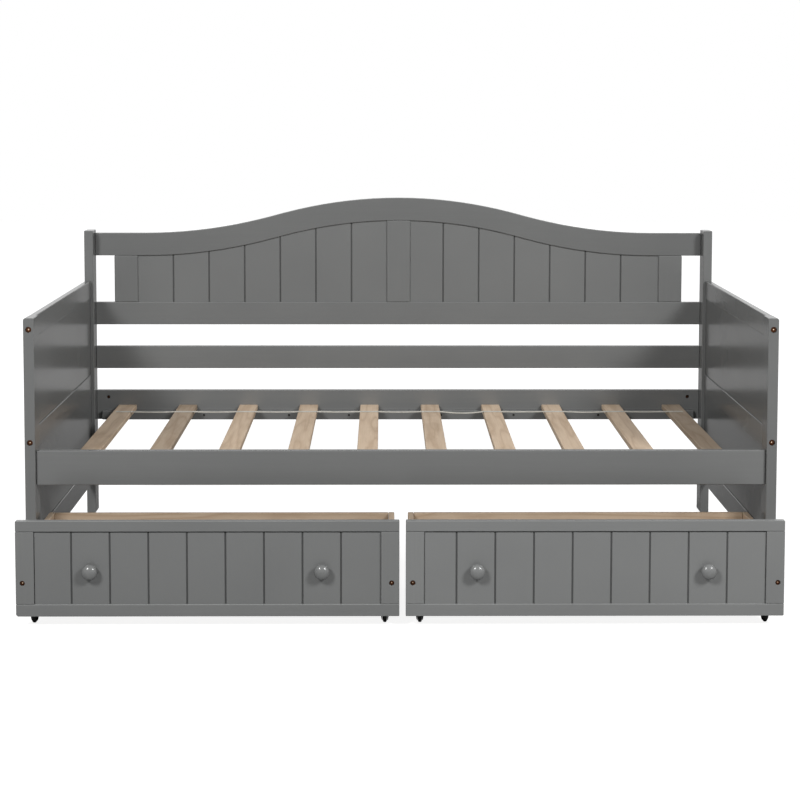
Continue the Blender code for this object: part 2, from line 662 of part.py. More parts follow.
def wheel_profile():
    """A wheel rounded over its whole width round a bore, as a closed loop of (along x, radius)."""
    half = WHEEL_WIDTH / 2
    bore = AXLE_RADIUS + AXLE_GAP
    crown = WHEEL_CROWN_SHARE * (WHEEL_RADIUS - bore)
    profile = [(half, bore), (-half, bore)]
    for k in range(CROWN_STEPS + 1):
        angle = math.pi * k / CROWN_STEPS
        profile.append((-half * math.cos(angle), WHEEL_RADIUS - crown + crown * math.sin(angle)))
    return profile


def knob_profile():
    """A round knob on a short neck, as (along x, radius) from its base outwards."""
    middle = KNOB_LENGTH - KNOB_HEAD_LENGTH / 2
    start = math.asin(KNOB_NECK_RADIUS / KNOB_RADIUS)
    profile = [(0, 0), (0, KNOB_NECK_RADIUS)]
    for k in range(KNOB_RINGS):
        angle = start + (math.pi - start) * k / KNOB_RINGS
        profile.append((middle - KNOB_HEAD_LENGTH / 2 * math.cos(angle), KNOB_RADIUS * math.sin(angle)))
    return profile + [(KNOB_LENGTH, 0)]


def make_knobs(drawer, paint, body):
    label, panel_width = drawer.label, drawer.width - 2 * FRONT_STILE
    middle = panel_width * drawer.knob_share - panel_width / 2
    knob_z = (FRONT_OPENING_LOW + FRONT_OPENING_TOP) / 2 - KNOB_DROP
    for name, x in (("left", middle - KNOB_SPACING / 2), ("right", middle + KNOB_SPACING / 2)):
        mesh = turned_mesh(f"{label}_{name}_knob", knob_profile(), KNOB_SIDES, False)
        centre = x, FRONT_PANEL_RECESS - GAP, knob_z
        place(f"{label}_{name}_knob", mesh, paint, body, centre, (0, 0, -math.pi / 2))


def make_drawer(drawer, looks, bed):
    """One rolling drawer, standing out by its pull."""
    centre_x = drawer.side * (drawer.width + DRAWER_MIDDLE_GAP) / 2
    body = empty(f"{drawer.label}_body", (centre_x, -drawer.pull, 0), bed)
    make_drawer_front(drawer, looks["paint"], body)
    bottom = make_drawer_box(drawer, looks["wood"], body)
    add_forks(drawer, bottom, body)
    make_knobs(drawer, looks["paint"], body)
    for k, centre in enumerate(caster_places(drawer)):
        name = f"{drawer.label}_wheel_{k + 1}"
        place(name, turned_mesh(name, wheel_profile(), WHEEL_SIDES, True), looks["black"], body, centre)


def main():
    remove_everything()
    looks = {
        "paint": finish("grey_paint", (0.165, 0.165, 0.163), 0.42),
        "wood": finish("bare_wood", (0.50, 0.36, 0.23), 0.60),
        "black": finish("black_plastic", (0.012, 0.012, 0.012), 0.45),
    }
    bed = empty("bed", (0, -ORIGIN_Y, 0))
    make_end(-1, "left", looks["paint"], bed)
    make_end(1, "right", looks["paint"], bed)
    make_backrest(looks["paint"], bed)
    make_side_rails(looks["paint"], bed)
    make_slats(looks["wood"], bed)
    for drawer in (LEFT_DRAWER, RIGHT_DRAWER):
        make_drawer(drawer, looks, bed)


main()
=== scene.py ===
"""Looks for the storage daybed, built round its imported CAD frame.

Metres, +Z up, the open front towards -Y. Grey painted boards, bare pine slats and drawer boxes, black
casters, bronze bolts and thin webbing across the slats.
"""
import math

import bmesh
import bpy
from mathutils import Matrix, Vector


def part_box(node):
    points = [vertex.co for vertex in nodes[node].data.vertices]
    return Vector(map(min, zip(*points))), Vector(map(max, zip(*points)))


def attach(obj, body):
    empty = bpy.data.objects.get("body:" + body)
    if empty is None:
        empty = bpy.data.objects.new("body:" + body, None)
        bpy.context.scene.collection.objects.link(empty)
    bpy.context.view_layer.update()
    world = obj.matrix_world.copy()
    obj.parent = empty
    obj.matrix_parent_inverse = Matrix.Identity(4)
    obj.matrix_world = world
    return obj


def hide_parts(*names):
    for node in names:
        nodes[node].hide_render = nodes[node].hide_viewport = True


FRAME_BODY = "bed_frame"
ORIGIN_SHIFT = 0.37085          # the bed's own Y at the scene's origin
ENDS = {"left": -1, "right": 1}     # and their directions along X

# The photograph's camera
PHOTO_PX = 800
FOCAL_PX = 1802.64
EYE = Vector((-0.04923, -5.10455, 1.33324))
YAW, PITCH, ROLL = 0.00934, 0.07366, 0.00129    # radians
SHIFT_Y = -0.2125
SENSOR_MM = 36.0
CLIP_END = 60

# Studio
AMBIENT = 0.07                  # world light on the object
BACKDROP_LIGHT = 1.0            # and from high on the white backdrop behind it
BACKDROP_RISE = 0.05, 0.50      # the backdrop's light grows between these heights of a unit ray
WHITE = 1.0                     # what the camera and reflections see
FLOOR_COLOUR = 0.40
FLOOR_ROUGHNESS = 0.9
FLOOR_LIFT = 0.89               # added near the object, for the camera
FLOOR_SHEEN, BACKDROP_SHEEN = 0.05, 0.23        # added in reflections, near and far
FLOOR_NEAR, FLOOR_FAR = 1.6, 3.4    # both grow between these distances from the middle
FLOOR_DROP = 0.0006             # below the feet
FLOOR_HALF = 14.0
LAMP_TURN = {"left": -30, "right": 37.5}        # degrees from the front
LAMP_RISE = {"left": 32, "right": 31}           # degrees above the floor
LAMP_WATTS = {"left": 326, "right": 350}
LAMP_DISTANCE = 7.5
LAMP_SIZE = 1.5
LAMP_AIM = Vector((0, 0, 0.45))

# Paint and wood colours, linear; a share multiplies them
PAINT_DARK = (0.143, 0.146, 0.145)
PAINT_LIGHT = (0.159, 0.162, 0.160)
SPECK_GREY = (0.24, 0.24, 0.24)
LIT_DRAWER_SHARE = 1.15               # painted light: the right drawer's front and knobs in a paler copy of the paint
EDGE_HIGHLIGHT_SHARE = 1.12               # painted highlight: the chamfers in a paler copy of the paint
TOP_LIGHT_SHARE = 1.50                # painted light: the upward faces of the drawer fronts' rails in a much paler copy
SHADE_SHARE, LIGHT_SHARE = 0.91, 1.10       # painted shade and painted light: darker and paler copies of the one paint
GRAIN_SHARE = 0.86              # in the grain
GROOVE_SHADE_SHARE = 0.45             # painted shade in the plank grooves
PAINT_SPECULAR = 0.5
PAINT_ROUGHNESS, GROOVE_ROUGHNESS = 0.20, 0.5
PINE_DARK = (0.360, 0.245, 0.158)
PINE_MID = (0.520, 0.385, 0.265)
PINE_LIGHT = (0.650, 0.510, 0.375)
KNOT_BROWN = (0.150, 0.080, 0.042)
# Shares of the slats' pine: the listed darker slats take the second, the rest the first
SLAT_SHARE, DARKER_SLAT_SHARE = 1.09, 0.72
BOX_SHARE = 0.73                # the drawer boxes' darker wood
BOARD_SPREAD = 0.93, 1.05       # from board to board
PINE_SPECULAR = 0.3
PINE_ROUGHNESS = 0.62
BLACK = (0.0045, 0.0045, 0.0045)
SCUFF_SHARE = 3.0
PLASTIC_SPECULAR = 0.2
PLASTIC_ROUGHNESS = 0.50
# Metals: the bright and the dull colour, and the roughness
BRONZE = (0.13, 0.054, 0.028), (0.024, 0.011, 0.006), 0.30
# Painted glint: a bright copy for the middle of each bolt's socket
BRONZE_GLINT = (0.95, 0.78, 0.58), (0.76, 0.56, 0.38), 0.42
DARK_METAL = (0.045, 0.042, 0.040), (0.018, 0.017, 0.016), 0.42
TAPE_CREAM, TAPE_SOILED, TAPE_THREAD = (0.63, 0.60, 0.53), (0.48, 0.45, 0.38), (0.30, 0.28, 0.23)
TAPE_ROUGHNESS = 0.85
TAPE_SHEEN = 0.25
TAPE_WARP, TAPE_WEFT = 0.0016, 0.0022   # pitch of the threads

# Noises: waves per metre, detail, roughness and distortion
NOISES = {
    "cloud": (2.3, 3, 0.55, 0),
    "speck": (520, 2, 0.6, 0),
    "peel": (240, 2, 0.5, 0),
    "grain": (210, 4, 0.62, 0.4),
    "lines": (46, 3, 0.6, 0.8),
    "drift": (9, 3, 0.55, 0),
    "fibre": (620, 3, 0.7, 0),
    "stain": (11, 4, 0.6, 0.5),
    "grit": (900, 2, 0.6, 0),
    "scuff": (60, 4, 0.65, 0),
    "patina": (380, 4, 0.6, 0),
    "scratch": (1500, 2, 0.5, 0),
    "soil": (45, 3, 0.6, 0),
    "floor": (30, 2, 0.5, 0),
}
# What is left of their waves per metre along the grain
STRETCH = {
    "grain": 0.025,
    "lines": 0.05,
    "drift": 0.09,
    "fibre": 0.02,
    "stain": 0.45,
    "knot": 0.42,
    "scratch": 0.1,
}
# Shares of a second colour: where a noise starts and ends, and the share at each
TONES = {
    "cloud": (0.3, 0.7, 0, 1),
    "grain": (0.35, 0.75, 0, 0.22),
    "speck": (0.55, 0.8, 0, 0.10),
    "stain": (0.52, 0.78, 0, 0.65),
    "fibre": (0.35, 0.8, 0, 0.34),
    "knot": (0.045, 0.13, 1, 0),
    "scuff": (0.5, 0.75, 0, 0.5),
    "patina": (0.35, 0.65, 0, 1),
    "soil": (0.35, 0.7, 0, 1),
    "weave": (-1, 1, 0, 0.25),
}
# Gloss: where a noise starts and ends, and what it adds to the roughness at each
GLOSSES = {
    "cloud": (0.25, 0.75, -0.03, 0.05),
    "fibre": (0.3, 0.8, -0.10, 0.12),
    "scuff": (0.3, 0.7, -0.08, 0.15),
    "scratch": (0.3, 0.7, -0.08, 0.12),
}
# Bumps: strength, and distance in metres
BUMPS = {
    "peel": (0.03, 0.0006),
    "speck": (0.03, 0.0002),
    "grain": (0.05, 0.0005),
    "lines": (0.05, 0.0008),
    "fibre": (0.30, 0.0006),
    "rings": (0.10, 0.0006),
    "stain": (0.10, 0.0012),
    "grit": (0.22, 0.0003),
    "scuff": (0.10, 0.0004),
    "scratch": (0.15, 0.0002),
    "patina": (0.15, 0.0003),
    "weave": (0.5, 0.0003),
    "soil": (0.1, 0.0005),
    "floor": (0.02, 0.001),
}
PAINT_SPREAD, PINE_SPREAD = 41.0, 67.0  # how far apart two pieces' noises lie
RINGS = 11.0                    # growth lines across the drift noise
RING_POWER = 2.2                # above 1 the dark lines are thinner
KNOT_CELLS = 7.5                # per metre
KNOT_DEPTH = 0.75               # share of KNOT_BROWN in a knot's middle

# Soft edges on the boards
EDGE_ROUND = 0.0007
EDGE_ANGLE = 25                 # degrees
WELD = 0.00001
SLOPING = 0.93                  # a normal whose largest part is smaller is on a chamfer or groove
UPWARD = 0.9                    # a normal with a larger Z looks up

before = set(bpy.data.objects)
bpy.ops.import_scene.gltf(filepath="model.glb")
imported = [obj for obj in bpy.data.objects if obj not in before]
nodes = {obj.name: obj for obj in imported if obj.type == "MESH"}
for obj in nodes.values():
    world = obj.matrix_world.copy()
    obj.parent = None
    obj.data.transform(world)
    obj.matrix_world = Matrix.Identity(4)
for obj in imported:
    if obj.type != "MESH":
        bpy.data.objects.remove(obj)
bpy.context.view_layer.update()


def node_box(name):
    low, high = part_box(name)
    return low, high, (low + high) / 2


# Materials


def along(axis, stretch):
    """A coordinate scale for grain that runs along one axis."""
    scale = [1.0] * 3
    scale["XYZ".index(axis)] = stretch
    return scale


def tint(colour, share):
    return tuple(channel * share for channel in colour)


class Tree:
    """A node tree, with short calls for making and joining nodes."""

    def __init__(self, tree):
        self.tree = tree

    def set(self, node, socket, value):
        if isinstance(value, bpy.types.NodeSocket):
            self.tree.links.new(value, node.inputs[socket])
        else:
            node.inputs[socket].default_value = value

    def add(self, kind, inputs=None, **settings):
        node = self.tree.nodes.new("ShaderNode" + kind)
        for key, value in settings.items():
            setattr(node, key, value)
        for socket, value in (inputs or {}).items():
            self.set(node, socket, value)
        return node

    def math(self, operation, a, b=0.0):
        return self.add("Math", {0: a, 1: b}, operation=operation).outputs[0]

    def span(self, value, low, high, to_low, to_high):
        """Maps low..high to to_low..to_high, and holds the ends beyond them."""
        inputs = {"Value": value, "From Min": low, "From Max": high, "To Min": to_low, "To Max": to_high}
        return self.add("MapRange", inputs).outputs["Result"]

    def rays(self):
        """1 for camera and transmission rays, and 1 for glossy rays."""
        path = self.add("LightPath").outputs
        seen = self.math("MAXIMUM", path["Is Camera Ray"], path["Is Transmission Ray"])
        return seen, path["Is Glossy Ray"]


class Net(Tree):
    """A material's nodes, round its one shader."""

    def __init__(self, name, roughness=0.5, metallic=0.0):
        self.material = bpy.data.materials.new(name)
        self.material.use_nodes = True
        super().__init__(self.material.node_tree)
        self.shader = self.tree.nodes["Principled BSDF"]
        self.roughness = roughness
        self.set(self.shader, "Roughness", roughness)
        self.set(self.shader, "Metallic", metallic)

    def place(self, stretch=(1, 1, 1)):
        """Object coordinates, squeezed along the grain."""
        spot = self.add("TexCoord").outputs["Object"]
        return self.add("Mapping", {"Vector": spot, "Scale": stretch}).outputs["Vector"]

    def own(self, spread):
        """A number of its own for each piece."""
        return self.math("MULTIPLY", self.add("ObjectInfo").outputs["Random"], spread)

    def noise(self, kind, axis=None, own=None):
        """One of NOISES, stretched along an axis if one is given; own moves it from piece to piece."""
        scale, detail, roughness, distortion = NOISES[kind]
        spot = self.place(along(axis, STRETCH[kind])) if axis else self.place()
        inputs = {"Vector": spot, "Scale": scale, "Detail": detail, "Roughness": roughness,
                  "Distortion": distortion}
        if own is None:
            return self.add("TexNoise", inputs).outputs["Fac"]
        inputs["W"] = own
        return self.add("TexNoise", inputs, noise_dimensions="4D").outputs["Fac"]

    def mix(self, share, a, b, blend="MIX"):
        """Mixes two colours."""
        node = self.add("Mix", data_type="RGBA", blend_type=blend)
        for index, value in ((0, share), (6, a), (7, b)):
            if isinstance(value, tuple):
                value = (*value, 1.0)
            self.set(node, index, value)
        return node.outputs[2]

    def tone(self, kind, value, a, b):
        """Mixes two colours by a noise and its row in TONES."""
        return self.mix(self.span(value, *TONES[kind]), a, b)

    def gloss(self, kind, value):
        """Varies the roughness by a noise and its row in GLOSSES."""
        low, high, below, above = GLOSSES[kind]
        span = self.span(value, low, high, self.roughness + below, self.roughness + above)
        self.set(self.shader, "Roughness", span)

    def bump(self, **heights):
        """Bumps on top of each other, by their rows in BUMPS."""
        normal = None
        for kind, height in heights.items():
            strength, distance = BUMPS[kind]
            inputs = {"Height": height, "Strength": strength, "Distance": distance}
            if normal is not None:
                inputs["Normal"] = normal
            normal = self.add("Bump", inputs).outputs["Normal"]
        self.set(self.shader, "Normal", normal)

    def coat(self, colour):
        self.set(self.shader, "Base Color", colour)
        return self.material


def paint(name, axis=None, share=1.0, roughness=PAINT_ROUGHNESS):
    """Sprayed semi-gloss paint. With an axis, the solid wood's grain shows faintly through it."""
    net = Net(name, roughness)
    net.set(net.shader, "Specular IOR Level", PAINT_SPECULAR)
    own = net.own(PAINT_SPREAD)
    cloud = net.noise("cloud", own=own)
    layers = {"peel": net.noise("peel"), "speck": net.noise("speck")}
    colour = net.tone("cloud", cloud, tint(PAINT_DARK, share), tint(PAINT_LIGHT, share))
    if axis:
        layers |= {kind: net.noise(kind, axis, own) for kind in ("grain", "lines")}
        colour = net.tone("grain", layers["grain"], colour, tint(PAINT_DARK, share * GRAIN_SHARE))
    net.gloss("cloud", cloud)
    net.bump(**layers)
    return net.coat(net.tone("speck", layers["speck"], colour, SPECK_GREY))


def pine(name, axis, share=1.0):
    """Bare pine: growth lines along the axis, fibres, a few knots and handling marks."""
    net = Net(name, PINE_ROUGHNESS)
    net.set(net.shader, "Specular IOR Level", PINE_SPECULAR)
    own = net.own(PINE_SPREAD)
    rings = net.math("FRACT", net.math("MULTIPLY", net.noise("drift", axis, own), RINGS))
    rings = net.math("PINGPONG", net.math("MULTIPLY", rings, 2.0), 1.0)
    fibre, stain = net.noise("fibre", axis, own), net.noise("stain", axis, own)
    base = net.mix(net.math("POWER", rings, RING_POWER), PINE_LIGHT, PINE_MID)
    base = net.tone("stain", stain, base, PINE_DARK)
    base = net.tone("fibre", fibre, base, PINE_DARK)
    cells = {"Vector": net.place(along(axis, STRETCH["knot"])), "Scale": KNOT_CELLS, "W": own}
    cells = net.add("TexVoronoi", cells, voronoi_dimensions="4D").outputs["Distance"]
    knot = net.math("MULTIPLY", net.span(cells, *TONES["knot"]), KNOT_DEPTH)
    base = net.mix(knot, base, KNOT_BROWN)
    shade = net.span(net.own(1.0), 0, 1, *(share * limit for limit in BOARD_SPREAD))
    shade = net.add("CombineColor", {0: shade, 1: shade, 2: shade}).outputs[0]
    base = net.mix(1.0, base, shade, "MULTIPLY")
    net.gloss("fibre", fibre)
    net.bump(fibre=fibre, rings=rings, stain=stain)
    return net.coat(base)


def plastic(name, colour, roughness):
    net = Net(name, roughness)
    net.set(net.shader, "Specular IOR Level", PLASTIC_SPECULAR)
    grit, scuff = net.noise("grit"), net.noise("scuff")
    net.gloss("scuff", scuff)
    net.bump(grit=grit, scuff=scuff)
    return net.coat(net.tone("scuff", scuff, colour, tint(colour, SCUFF_SHARE)))


def metal(name, bright, dull, roughness):
    """A plated or blackened metal with a mottled finish."""
    net = Net(name, roughness, 1.0)
    patina, scratch = net.noise("patina"), net.noise("scratch", "X")
    net.gloss("scratch", scratch)
    net.bump(scratch=scratch, patina=patina)
    return net.coat(net.tone("patina", patina, bright, dull))


def webbing(name):
    """Thin cream cotton tape, woven with fine ribs across its length."""
    net = Net(name, TAPE_ROUGHNESS)
    parts = net.add("SeparateXYZ", {0: net.place()}).outputs
    threads = [net.math("SINE", net.math("MULTIPLY", parts[axis], 2 * math.pi / pitch))
               for axis, pitch in (("X", TAPE_WARP), ("Y", TAPE_WEFT))]
    weave = net.math("MULTIPLY", *threads)
    soil = net.noise("soil")
    net.set(net.shader, "Sheen Weight", TAPE_SHEEN)
    net.bump(weave=weave, soil=soil)
    return net.coat(net.tone("weave", weave, net.tone("soil", soil, TAPE_CREAM, TAPE_SOILED), TAPE_THREAD))


looks = {
    "paint_x": paint("paint_along_x", "X"),
    "paint_y": paint("paint_along_y", "Y"),
    "paint_z": paint("paint_along_z", "Z"),
    "paint_flat": paint("paint_on_board"),
    "paint_shaded_x": paint("shaded_paint_along_x", "X", SHADE_SHARE),
    "paint_shaded_z": paint("shaded_paint_along_z", "Z", SHADE_SHARE),
    "paint_shaded_flat": paint("shaded_paint_on_board", share=SHADE_SHARE),
    "paint_lit_x": paint("lit_paint_along_x", "X", LIGHT_SHARE),
    # painted highlight on the chamfers
    "edge": paint("paint_edge_highlight", share=EDGE_HIGHLIGHT_SHARE),
    "lit_top": paint("paint_lit_upper_face", "X", TOP_LIGHT_SHARE),
    "groove": paint("paint_groove", share=GROOVE_SHADE_SHARE, roughness=GROOVE_ROUGHNESS),
    "pale_x": paint("lit_drawer_paint_along_x", "X", LIT_DRAWER_SHARE),
    "pale_z": paint("lit_drawer_paint_along_z", "Z", LIT_DRAWER_SHARE),
    "pale_flat": paint("lit_drawer_paint_on_board", share=LIT_DRAWER_SHARE),
    "pale_groove": paint("lit_drawer_paint_groove", share=LIT_DRAWER_SHARE * GROOVE_SHADE_SHARE, roughness=GROOVE_ROUGHNESS),
    "pine_slat": pine("pine_slats", "Y", SLAT_SHARE),
    "pine_brown": pine("darker_pine_slats", "Y", DARKER_SLAT_SHARE),
    "pine_x": pine("drawer_pine_along_x", "X", BOX_SHARE),
    "pine_y": pine("drawer_pine_along_y", "Y", BOX_SHARE),
    "black": plastic("black_plastic", BLACK, PLASTIC_ROUGHNESS),
    "bronze": metal("bronze_plate", *BRONZE),
    "bronze_glint": metal("worn_bronze", *BRONZE_GLINT),
    "dark_metal": metal("dark_screw", *DARK_METAL),
    "webbing": webbing("cotton_webbing"),
}


# Making pieces


def soften(obj, width=EDGE_ROUND, segments=2, weld=True):
    """Rounds a piece's edges."""
    if weld:
        obj.modifiers.new("Weld", "WELD").merge_threshold = WELD
    rounding = obj.modifiers.new("Soft edges", "BEVEL")
    rounding.width = width
    rounding.segments = segments
    rounding.limit_method = "ANGLE"
    rounding.angle_limit = math.radians(EDGE_ANGLE)


# On paint, the sloping look is a paler copy for a painted highlight on chamfers, or a darker copy for
# painted shade in grooves
def dress(name, look, sloping="edge"):
    """Gives a CAD node its finish, with another on its chamfers or grooves, and softens its edges."""
    obj = nodes[name]
    mesh = obj.data
    mesh.materials.clear()
    mesh.materials.append(looks[look])
    mesh.materials.append(looks[sloping])
    for face in mesh.polygons:
        face.material_index = int(max(abs(part) for part in face.normal) < SLOPING)
        face.use_smooth = False
    soften(obj)


def linked(name, bm):
    """Turns a bmesh into an object in the scene."""
    mesh = bpy.data.meshes.new(name)
    bm.to_mesh(mesh)
    bm.free()
    obj = bpy.data.objects.new(name, mesh)
    bpy.context.scene.collection.objects.link(obj)
    return obj


def piece(name, bm, look, body, stands_for=(), smooth=None):
    """Turns a bmesh into a named piece that rides on a body. smooth is the sharp-edge angle in degrees."""
    bmesh.ops.recalc_face_normals(bm, faces=bm.faces)
    obj = linked(name, bm)
    obj.data.materials.append(looks[look])
    if smooth:
        obj.data.shade_smooth()
        obj.data.set_sharp_from_angle(angle=math.radians(smooth))
    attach(obj, body)
    if stands_for:
        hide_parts(*stands_for)
    return obj


def cutter(name, bm, body):
    """A hidden tool for a Boolean, which moves with a body."""
    bmesh.ops.recalc_face_normals(bm, faces=bm.faces)
    obj = linked(name, bm)
    obj.hide_render = True
    obj.display_type = "WIRE"
    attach(obj, body)
    return obj


def cut(obj, tool):
    """Cuts before the edges are rounded."""
    shaping = obj.modifiers.new("Cut", "BOOLEAN")
    shaping.operation = "DIFFERENCE"
    shaping.solver = "EXACT"
    shaping.object = tool
    names = [modifier.name for modifier in obj.modifiers]
    if "Soft edges" in names:
        obj.modifiers.move(len(names) - 1, names.index("Soft edges"))


def ring_points(radius, count, corners=0):
    """Points round a circle, or round a polygon when corners is given."""
    points = []
    for k in range(count):
        angle = 2 * math.pi * k / count
        reach = radius
        if corners:
            sector = math.pi / corners
            reach = radius * math.cos(sector) / math.cos((angle % (2 * sector)) - sector)
        points.append((reach * math.cos(angle), reach * math.sin(angle)))
    return points


def lathe(profile, sides, bm=None, matrix=None):
    """Turns (radius, height) points about Z.

    A radius of 0 is a pole, and a third item is a polygon's corners. bm takes the faces, if it is given.
    """
    bm = bmesh.new() if bm is None else bm
    matrix = matrix or Matrix.Identity(4)
    rings = []
    for radius, height, *corners in profile:
        spots = [(0, 0)] if radius == 0 else ring_points(radius, sides, *corners)
        rings.append([bm.verts.new(matrix @ Vector((x, y, height))) for x, y in spots])
    for near, far in zip(rings, rings[1:]):
        for k in range(sides):
            if len(near) == 1:
                bm.faces.new((near[0], far[k - 1], far[k]))
            elif len(far) == 1:
                bm.faces.new((near[k], near[k - 1], far[0]))
            else:
                bm.faces.new((near[k], near[k - 1], far[k - 1], far[k]))
    return bm


def scaled(radius, profile, lift=0.0):
    """A lathe profile from shares of a radius; lift is added to its heights."""
    return [(radius * share, lift + height, *corners) for share, height, *corners in profile]


def facing(centre, direction):
    """A matrix that turns +Z towards direction at centre."""
    turn = Vector(direction).to_track_quat("Z", "Y").to_matrix().to_4x4()
    return Matrix.Translation(centre) @ turn


def box_bm(low, high):
    bm = bmesh.new()
    bmesh.ops.create_cube(bm, size=1)
    low, high = Vector(low), Vector(high)
    bmesh.ops.scale(bm, vec=high - low, verts=bm.verts)
    bmesh.ops.translate(bm, vec=(low + high) / 2, verts=bm.verts)
    return bm


# The camera


def make_camera():
    data = bpy.data.cameras.new("photo_camera")
    data.sensor_width = SENSOR_MM
    data.lens = FOCAL_PX * SENSOR_MM / PHOTO_PX
    data.shift_y = SHIFT_Y
    data.clip_end = CLIP_END
    camera = bpy.data.objects.new("photo_camera", data)
    bpy.context.scene.collection.objects.link(camera)
    bpy.context.scene.camera = camera
    forward = Vector((math.sin(YAW) * math.cos(PITCH), math.cos(YAW) * math.cos(PITCH), -math.sin(PITCH)))
    level = Vector((math.cos(YAW), -math.sin(YAW), 0))
    above = level.cross(forward)
    right = level * math.cos(ROLL) + above * math.sin(ROLL)
    above = above * math.cos(ROLL) - level * math.sin(ROLL)
    turned = Matrix((right, above, -forward)).transposed().to_4x4()
    camera.matrix_world = Matrix.Translation(EYE) @ turned


# The studio


def make_world():
    """White for the camera and reflections; on the object, weak light with more of it from the backdrop."""
    world = bpy.data.worlds.new("studio")
    world.use_nodes = True
    tree = Tree(world.node_tree)
    seen, mirrored = tree.rays()
    ray = tree.add("SeparateXYZ", {0: tree.add("TexCoord").outputs["Generated"]}).outputs
    share = tree.math("MULTIPLY", ray["Y"], tree.span(ray["Z"], *BACKDROP_RISE, 0, 1))
    light = tree.span(share, 0, 1, AMBIENT, BACKDROP_LIGHT)
    background = tree.tree.nodes["Background"]
    tree.set(background, "Color", (1, 1, 1, 1))
    tree.set(background, "Strength", tree.span(tree.math("MAXIMUM", seen, mirrored), 0, 1, light, WHITE))
    bpy.context.scene.world = world


def make_floor():
    """A pale floor that grows to white away from the object, for the camera and reflections."""
    net = Net("pale_floor", FLOOR_ROUGHNESS)
    net.coat((FLOOR_COLOUR, FLOOR_COLOUR, FLOOR_COLOUR, 1))
    net.set(net.shader, "Specular IOR Level", 0.0)
    net.bump(floor=net.noise("floor"))
    away = net.add("VectorMath", {0: net.place()}, operation="LENGTH").outputs["Value"]
    seen, mirrored = net.rays()
    lift = net.span(away, FLOOR_NEAR, FLOOR_FAR, FLOOR_LIFT, WHITE)
    lift = net.math("MULTIPLY", seen, lift)
    sheen = net.span(away, FLOOR_NEAR, FLOOR_FAR, FLOOR_SHEEN, BACKDROP_SHEEN)
    sheen = net.math("MULTIPLY", mirrored, sheen)
    glow = net.add("Emission", {"Strength": net.math("MAXIMUM", lift, sheen)})
    both = net.add("AddShader", {0: net.shader.outputs[0], 1: glow.outputs[0]})
    net.set(net.tree.nodes["Material Output"], "Surface", both.outputs[0])
    bm = bmesh.new()
    bmesh.ops.create_grid(bm, x_segments=4, y_segments=4, size=FLOOR_HALF)
    floor = linked("floor", bm)
    floor.data.materials.append(net.material)
    floor.location.z = -FLOOR_DROP


def make_lamp(name):
    azimuth, rise = math.radians(LAMP_TURN[name]), math.radians(LAMP_RISE[name])
    back = Vector((math.sin(azimuth) * math.cos(rise), -math.cos(azimuth) * math.cos(rise), math.sin(rise)))
    data = bpy.data.lights.new(name + "_softbox", "AREA")
    data.shape = "SQUARE"
    data.size = LAMP_SIZE
    data.energy = LAMP_WATTS[name]
    lamp = bpy.data.objects.new(name + "_softbox", data)
    lamp.location = LAMP_AIM + back * LAMP_DISTANCE
    lamp.rotation_mode = "QUATERNION"
    lamp.rotation_quaternion = back.to_track_quat("Z", "Y")
    bpy.context.scene.collection.objects.link(lamp)


make_camera()
make_world()
make_floor()
for end in ENDS:
    make_lamp(end)
bpy.context.scene.view_settings.view_transform = "Standard"


# CAD nodes that keep their shape

SLAT_NUMBERS = range(1, 11)
DARKER_SLATS = (2, 10)
ALONG = {
    "paint_x": ["back_panel_rail", "front_side_rail", "front_ledger", "back_ledger"],
    # Painted shade on the arch rail and the front posts, painted light on the back's middle and side rails
    "paint_shaded_x": ["back_arch_rail"],
    "paint_lit_x": ["back_middle_rail", "back_side_rail"],
    "paint_y": [f"{end}_{rail}_rail" for end in ENDS for rail in ("arm", "middle", "bottom")],
    "paint_z": [f"{end}_back_post" for end in ENDS]
    + [f"back_{place}_stile" for place in ("left", "centre", "right")],
    "paint_shaded_z": [f"{end}_front_post" for end in ENDS],
    "pine_slat": [f"slat_{k:02d}" for k in SLAT_NUMBERS if k not in DARKER_SLATS],
    "pine_brown": [f"slat_{k:02d}" for k in DARKER_SLATS],
    "pine_y": [f"{end}_drawer_{side}_side" for end in ENDS for side in ENDS],
    "pine_x": [f"{end}_drawer_back" for end in ENDS],
}
# The chamfers of painted boards take the edge look: painted highlight
for look, names in ALONG.items():
    for name in names:
        dress(name, look, "edge" if look.startswith("paint") else look)
# Painted shade in the panels' plank grooves
for name in ("back_left_panel", "back_right_panel", "left_drawer_panel"):
    dress(name, "paint_flat", "groove")
# Painted light on the right drawer's panel, with painted shade in its grooves
dress("right_drawer_panel", "pale_flat", "pale_groove")
# Painted shade: the right end's panels take the darker copy of the paint
for end, look in (("left", "paint_flat"), ("right", "paint_shaded_flat")):
    for place in ("upper", "lower"):
        dress(f"{end}_{place}_panel", look)


# Drawer fronts: two rails and two stiles in place of the one-piece frame

SEAM = 0.0003                   # half the gap between a rail and a stile
RAIL_ROUND, STILE_ROUND = 0.0016, 0.00112
BOARD_STEPS = 3                 # in each rounded edge
TOP_RAIL, BOTTOM_RAIL, STILE = 0.0275, 0.031, 0.046
TOP_CORNER = 0.003
FOOT_CORNER = {"left": 0.0065, "right": 0.003}
# Painted light: the right drawer's boards and knobs take the paler copy of the paint
DRAWER_PAINT = {"left": "paint", "right": "pale"}
CORNER_STEPS = 6
CORNERS = ((1, -1, -90), (1, 1, 0), (-1, 1, 90), (-1, -1, 180))   # side, top and first angle
TOP_GAP, SIDE_GAP = 0.0022, 0.0012
GAP_DEPTH = 0.0054
GAP_RUN = 0.002                 # how far a gap's tool passes the board it cuts


